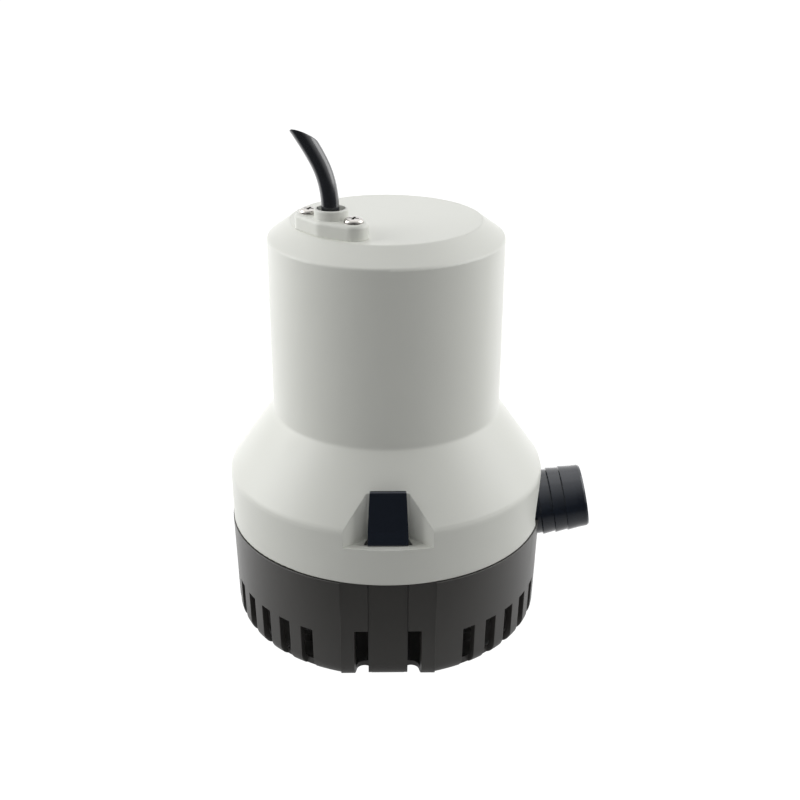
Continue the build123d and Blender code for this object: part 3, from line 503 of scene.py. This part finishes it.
def add_world(studio):
    """White for the camera, brighter behind, beside and above for reflections, and low and even for matte."""
    world = bpy.context.scene.world or bpy.data.worlds.new("studio")
    bpy.context.scene.world = world
    world.use_nodes = True
    nodes = Nodes(world.node_tree)
    camera = nodes.add("ShaderNodeLightPath", output="Is Camera Ray")
    glossy = nodes.add("ShaderNodeLightPath", output="Is Glossy Ray")
    through = nodes.add("ShaderNodeLightPath", output="Is Transmission Ray")
    direction = nodes.add("ShaderNodeTexCoord", output="Generated")
    back = nodes.add("ShaderNodeSeparateXYZ", None, {0: direction}, output=1) * 0.5 + 0.5
    sideways = nodes.add("ShaderNodeSeparateXYZ", None, {0: direction}, output=0) ** 2.0
    upwards = nodes.add("ShaderNodeSeparateXYZ", None, {0: direction}, output=2) ** 2.0
    behind = MIRROR_BEHIND * back * back
    mirror_level = MIRROR_BASE + behind + MIRROR_SIDES * sideways + MIRROR_ABOVE * upwards
    seen = camera.math("MAXIMUM", camera, through)
    level = seen + (1.0 - seen) * (glossy * mirror_level + (1.0 - glossy) * studio.ambient)
    background = world.node_tree.nodes["Background"]
    background.inputs["Color"].default_value = WHITE
    nodes.feed(background.inputs["Strength"], level)


def add_lamp(name, place, target, size, power):
    """An area lamp that looks at a point."""
    data = bpy.data.lights.new(name, "AREA")
    data.shape = "RECTANGLE"
    data.size, data.size_y = size
    data.energy = power
    lamp = bpy.data.objects.new(name, data)
    lamp.location = place
    lamp.rotation_euler = (Vector(target) - Vector(place)).to_track_quat("-Z", "Y").to_euler()
    bpy.context.scene.collection.objects.link(lamp)


def add_floor(size):
    """Pale floor that shows white to the camera and keeps a faint contact shadow."""
    mesh = bmesh.new()
    bmesh.ops.create_grid(mesh, x_segments=1, y_segments=1, size=size / 2)
    bmesh.ops.translate(mesh, verts=mesh.verts, vec=(0.0, 0.0, -FLOOR_DROP))
    data = bpy.data.meshes.new("studio_floor")
    mesh.to_mesh(data)
    mesh.free()
    floor = bpy.data.objects.new("studio_floor", data)
    bpy.context.scene.collection.objects.link(floor)
    material = bpy.data.materials.new("pale floor")
    material.use_nodes = True
    nodes = Nodes(material.node_tree)
    camera = nodes.add("ShaderNodeLightPath", output="Is Camera Ray")
    glossy = nodes.add("ShaderNodeLightPath", output="Is Glossy Ray")
    place = nodes.add("ShaderNodeTexCoord", output="Object")
    depth = nodes.add("ShaderNodeSeparateXYZ", None, {0: place}, output=1)
    rising = FLOOR_MIRROR + FLOOR_MIRROR_RISE * depth
    sheen = nodes.add(
        "ShaderNodeClamp", None, {"Value": rising, "Min": FLOOR_MIRROR_LOW, "Max": FLOOR_MIRROR_HIGH})
    matte = nodes.add("ShaderNodeBsdfDiffuse", None, {"Color": FLOOR_GREY})
    strength = FLOOR_GLOW * camera + glossy * sheen
    white = nodes.add("ShaderNodeEmission", None, {"Color": WHITE, "Strength": strength})
    share = camera * FLOOR_GLOW_SHARE + glossy
    mixed = nodes.add("ShaderNodeMixShader", None, {0: share, 1: matte, 2: white})
    nodes.feed(material.node_tree.nodes["Material Output"].inputs["Surface"], mixed)
    data.materials.append(material)


# ---- operators ----
class BilgePumpOperator:
    """Shared settings of the operators."""

    bl_options = {"REGISTER", "UNDO"}
    finishes = {}

    @property
    def colours(self):
        return bpy.context.scene.pump_colours

    @property
    def sizes(self):
        return bpy.context.scene.pump_sizes

    @property
    def studio(self):
        return bpy.context.scene.pump_studio


class BILGEPUMP_OT_studio(BilgePumpOperator, bpy.types.Operator):
    """Add the camera, the lamps, the world and the floor"""

    bl_idname = "bilgepump.studio"
    bl_label = "Studio"

    def execute(self, context):
        scene = context.scene
        scene.view_settings.view_transform = "Standard"
        data = bpy.data.cameras.new("camera")
        data.lens = self.studio.lens
        data.sensor_width = SENSOR_WIDTH
        data.shift_x = CAMERA_SHIFT
        data.clip_start = 0.01
        camera = bpy.data.objects.new("camera", data)
        camera.location = CAMERA_PLACE
        camera.rotation_euler = (math.radians(CAMERA_TILT_DEG), 0.0, math.radians(CAMERA_TURN_DEG))
        scene.collection.objects.link(camera)
        scene.camera = camera
        for side, share, height in SIDE_LAMPS:
            place = (side * SIDE_LAMP_REACH, SIDE_LAMP_BACK, height)
            add_lamp("side lamp", place, LAMP_TARGET, SIDE_LAMP_SIZE, self.studio.side_power * share)
        add_lamp("top lamp", TOP_LAMP_PLACE, LAMP_TARGET, TOP_LAMP_SIZE, self.studio.top_power)
        add_world(self.studio)
        add_floor(self.studio.floor_size)
        return {"FINISHED"}


class BILGEPUMP_OT_finishes(BilgePumpOperator, bpy.types.Operator):
    """Give every CAD node the finish of its material slot"""

    bl_idname = "bilgepump.finishes"
    bl_label = "Finishes"

    def execute(self, context):
        BilgePumpOperator.finishes = make_finishes(self.colours, self.sizes)
        for subpart in frame["record"]["subparts"]:
            data = frame["nodes"][subpart["node"]].data
            data.materials.clear()
            finish = OWN_FINISH.get(subpart["node"], subpart["material_slot"])
            data.materials.append(self.finishes[finish])
        return {"FINISHED"}


class BILGEPUMP_OT_cable(BilgePumpOperator, bpy.types.Operator):
    """Model the power cable and the cores at its cut end"""

    bl_idname = "bilgepump.cable"
    bl_label = "Power cable"

    def execute(self, context):
        line = self.route_curve(context)
        route = bpy.data.meshes.new_from_object(line)
        centre = [vertex.co.copy() for vertex in route.vertices]
        line.data.bevel_depth = self.sizes.cable_diameter / 2
        line.data.bevel_resolution = 8
        line.data.use_fill_caps = True
        tube = bpy.data.meshes.new_from_object(line)
        bpy.data.objects.remove(line)
        path = self.cut_line(centre)
        jacket = self.jacket(tube)
        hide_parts("power_cable")
        cores = self.cores(path[-1], (path[-1] - path[-2]).normalized())
        return {"FINISHED"}

    def route_curve(self, context):
        """A smooth curve through the route's points."""
        curve = bpy.data.curves.new("cable_route", "CURVE")
        curve.dimensions = "3D"
        curve.resolution_u = 16
        spline = curve.splines.new("NURBS")
        spline.points.add(len(CABLE_ROUTE) - 1)
        for point, place in zip(spline.points, CABLE_ROUTE):
            point.co = (*place, 1.0)
        spline.order_u = 3
        spline.use_endpoint_u = True
        line = bpy.data.objects.new("cable_route", curve)
        context.scene.collection.objects.link(line)
        return line

    def cut_line(self, centre):
        """The part of the centreline below the cut."""
        kept = [point for point in centre if (point - CABLE_CUT_POINT).dot(CABLE_CUT_NORMAL) < 0.0]
        last, after = kept[-1], centre[len(kept)]
        step = after - last
        share = (CABLE_CUT_POINT - last).dot(CABLE_CUT_NORMAL) / step.dot(CABLE_CUT_NORMAL)
        return kept + [last + step * share]

    def jacket(self, tube):
        """The outer jacket, cut off slanting, with a rim and a shallow recess for the cores."""
        mesh = bmesh.new()
        mesh.from_mesh(tube)
        bmesh.ops.remove_doubles(mesh, verts=mesh.verts, dist=1e-7)
        everything = mesh.verts[:] + mesh.edges[:] + mesh.faces[:]
        cut = bmesh.ops.bisect_plane(
            mesh, geom=everything, plane_co=CABLE_CUT_POINT, plane_no=CABLE_CUT_NORMAL, clear_outer=True)
        rim = [item for item in cut["geom_cut"] if isinstance(item, bmesh.types.BMEdge)]
        bmesh.ops.contextual_create(mesh, geom=rim)
        bmesh.ops.bevel(
            mesh, geom=rim, offset=CUT_BEVEL, segments=2, affect="EDGES", profile=0.5, material=-1)
        caps = [face for face in mesh.faces if (face.normal - CABLE_CUT_NORMAL).length < 0.05]
        cap = max(caps, key=lambda face: face.calc_area())
        bmesh.ops.inset_region(mesh, faces=[cap], thickness=self.sizes.jacket_wall, depth=0.0)
        bmesh.ops.inset_region(mesh, faces=[cap], thickness=HOLLOW_MARGIN, depth=-HOLLOW_DEPTH)
        bmesh.ops.recalc_face_normals(mesh, faces=mesh.faces)
        shade_smooth(mesh, 40.0)
        return finished("cable_jacket", mesh, "pump", [self.finishes["cable_jacket"]])

    def cores(self, end, along):
        """Two insulated cores with their copper strands, all ending along the slanted cut."""
        mesh = bmesh.new()
        turn = along.to_track_quat("Z", "Y").to_matrix().to_4x4()
        side_step = self.sizes.core_diameter * CORE_SPACING
        for number, side in enumerate((-1.0, 1.0)):
            centre = turn @ Vector((0.0, side * side_step, 0.0)) + end
            self.core_stub(mesh, Matrix.Translation(centre) @ turn, self.sizes.core_diameter / 2, number)
            for ring, count in STRAND_RINGS:
                for index in range(count):
                    angle = math.tau * index / count
                    shift = Vector((ring * math.cos(angle), ring * math.sin(angle), 0.0))
                    place = Matrix.Translation(centre) @ turn @ Matrix.Translation(shift)
                    self.core_stub(mesh, place, self.sizes.strand_diameter / 2, 2, STRAND_LIFT)
        shade_smooth(mesh, 40.0)
        materials = [self.finishes[slot] for slot in ("lead_brown", "cable_jacket", "copper")]
        return finished("cable_cores", mesh, "pump", materials)

    def core_stub(self, mesh, place, radius, material, lift=0.0):
        """A short round rod from inside the jacket up to the cut."""
        made = bmesh.ops.create_cone(
            mesh, cap_ends=True, segments=20, radius1=radius, radius2=radius, depth=STUB_LENGTH,
            matrix=place @ Matrix.Translation((0.0, 0.0, lift - STUB_DROP)))
        verts = made["verts"]
        along = place.to_3x3().col[2]
        middle = STUB_DROP / 2
        top = [vertex for vertex in verts if (vertex.co - place.translation).dot(along) > -middle]
        for vertex in top:
            gap = (CABLE_CUT_POINT - vertex.co).dot(CABLE_CUT_NORMAL) - CORE_RECESS + lift
            vertex.co += along * gap / along.dot(CABLE_CUT_NORMAL)
        for face in {face for vertex in verts for face in vertex.link_faces}:
            face.material_index = material


class BILGEPUMP_PT_panel(bpy.types.Panel):
    """Lists the pump's operators and settings"""

    bl_idname = "BILGEPUMP_PT_panel"
    bl_label = "Bilge pump"
    bl_space_type = "VIEW_3D"
    bl_region_type = "UI"
    bl_category = "Bilge pump"

    def draw(self, context):
        for operator in OPERATORS:
            self.layout.operator(operator.bl_idname)
        for name, group in SETTINGS.items():
            box = self.layout.box()
            for setting in group.__annotations__:
                box.prop(getattr(context.scene, name), setting)


SETTINGS = {"pump_colours": PumpColours, "pump_sizes": PumpSizes, "pump_studio": StudioSettings}
OPERATORS = (BILGEPUMP_OT_studio, BILGEPUMP_OT_finishes, BILGEPUMP_OT_cable)
CLASSES = (*SETTINGS.values(), *OPERATORS, BILGEPUMP_PT_panel)


def register():
    for item in CLASSES:
        bpy.utils.register_class(item)
    for name, group in SETTINGS.items():
        setattr(bpy.types.Scene, name, PointerProperty(type=group))


def unregister():
    for name in SETTINGS:
        delattr(bpy.types.Scene, name)
    for item in reversed(CLASSES):
        bpy.utils.unregister_class(item)


def main():
    """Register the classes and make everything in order."""
    register()
    bpy.ops.bilgepump.studio()
    bpy.ops.bilgepump.finishes()
    bpy.ops.bilgepump.cable()


if __name__ == "__main__":
    main()
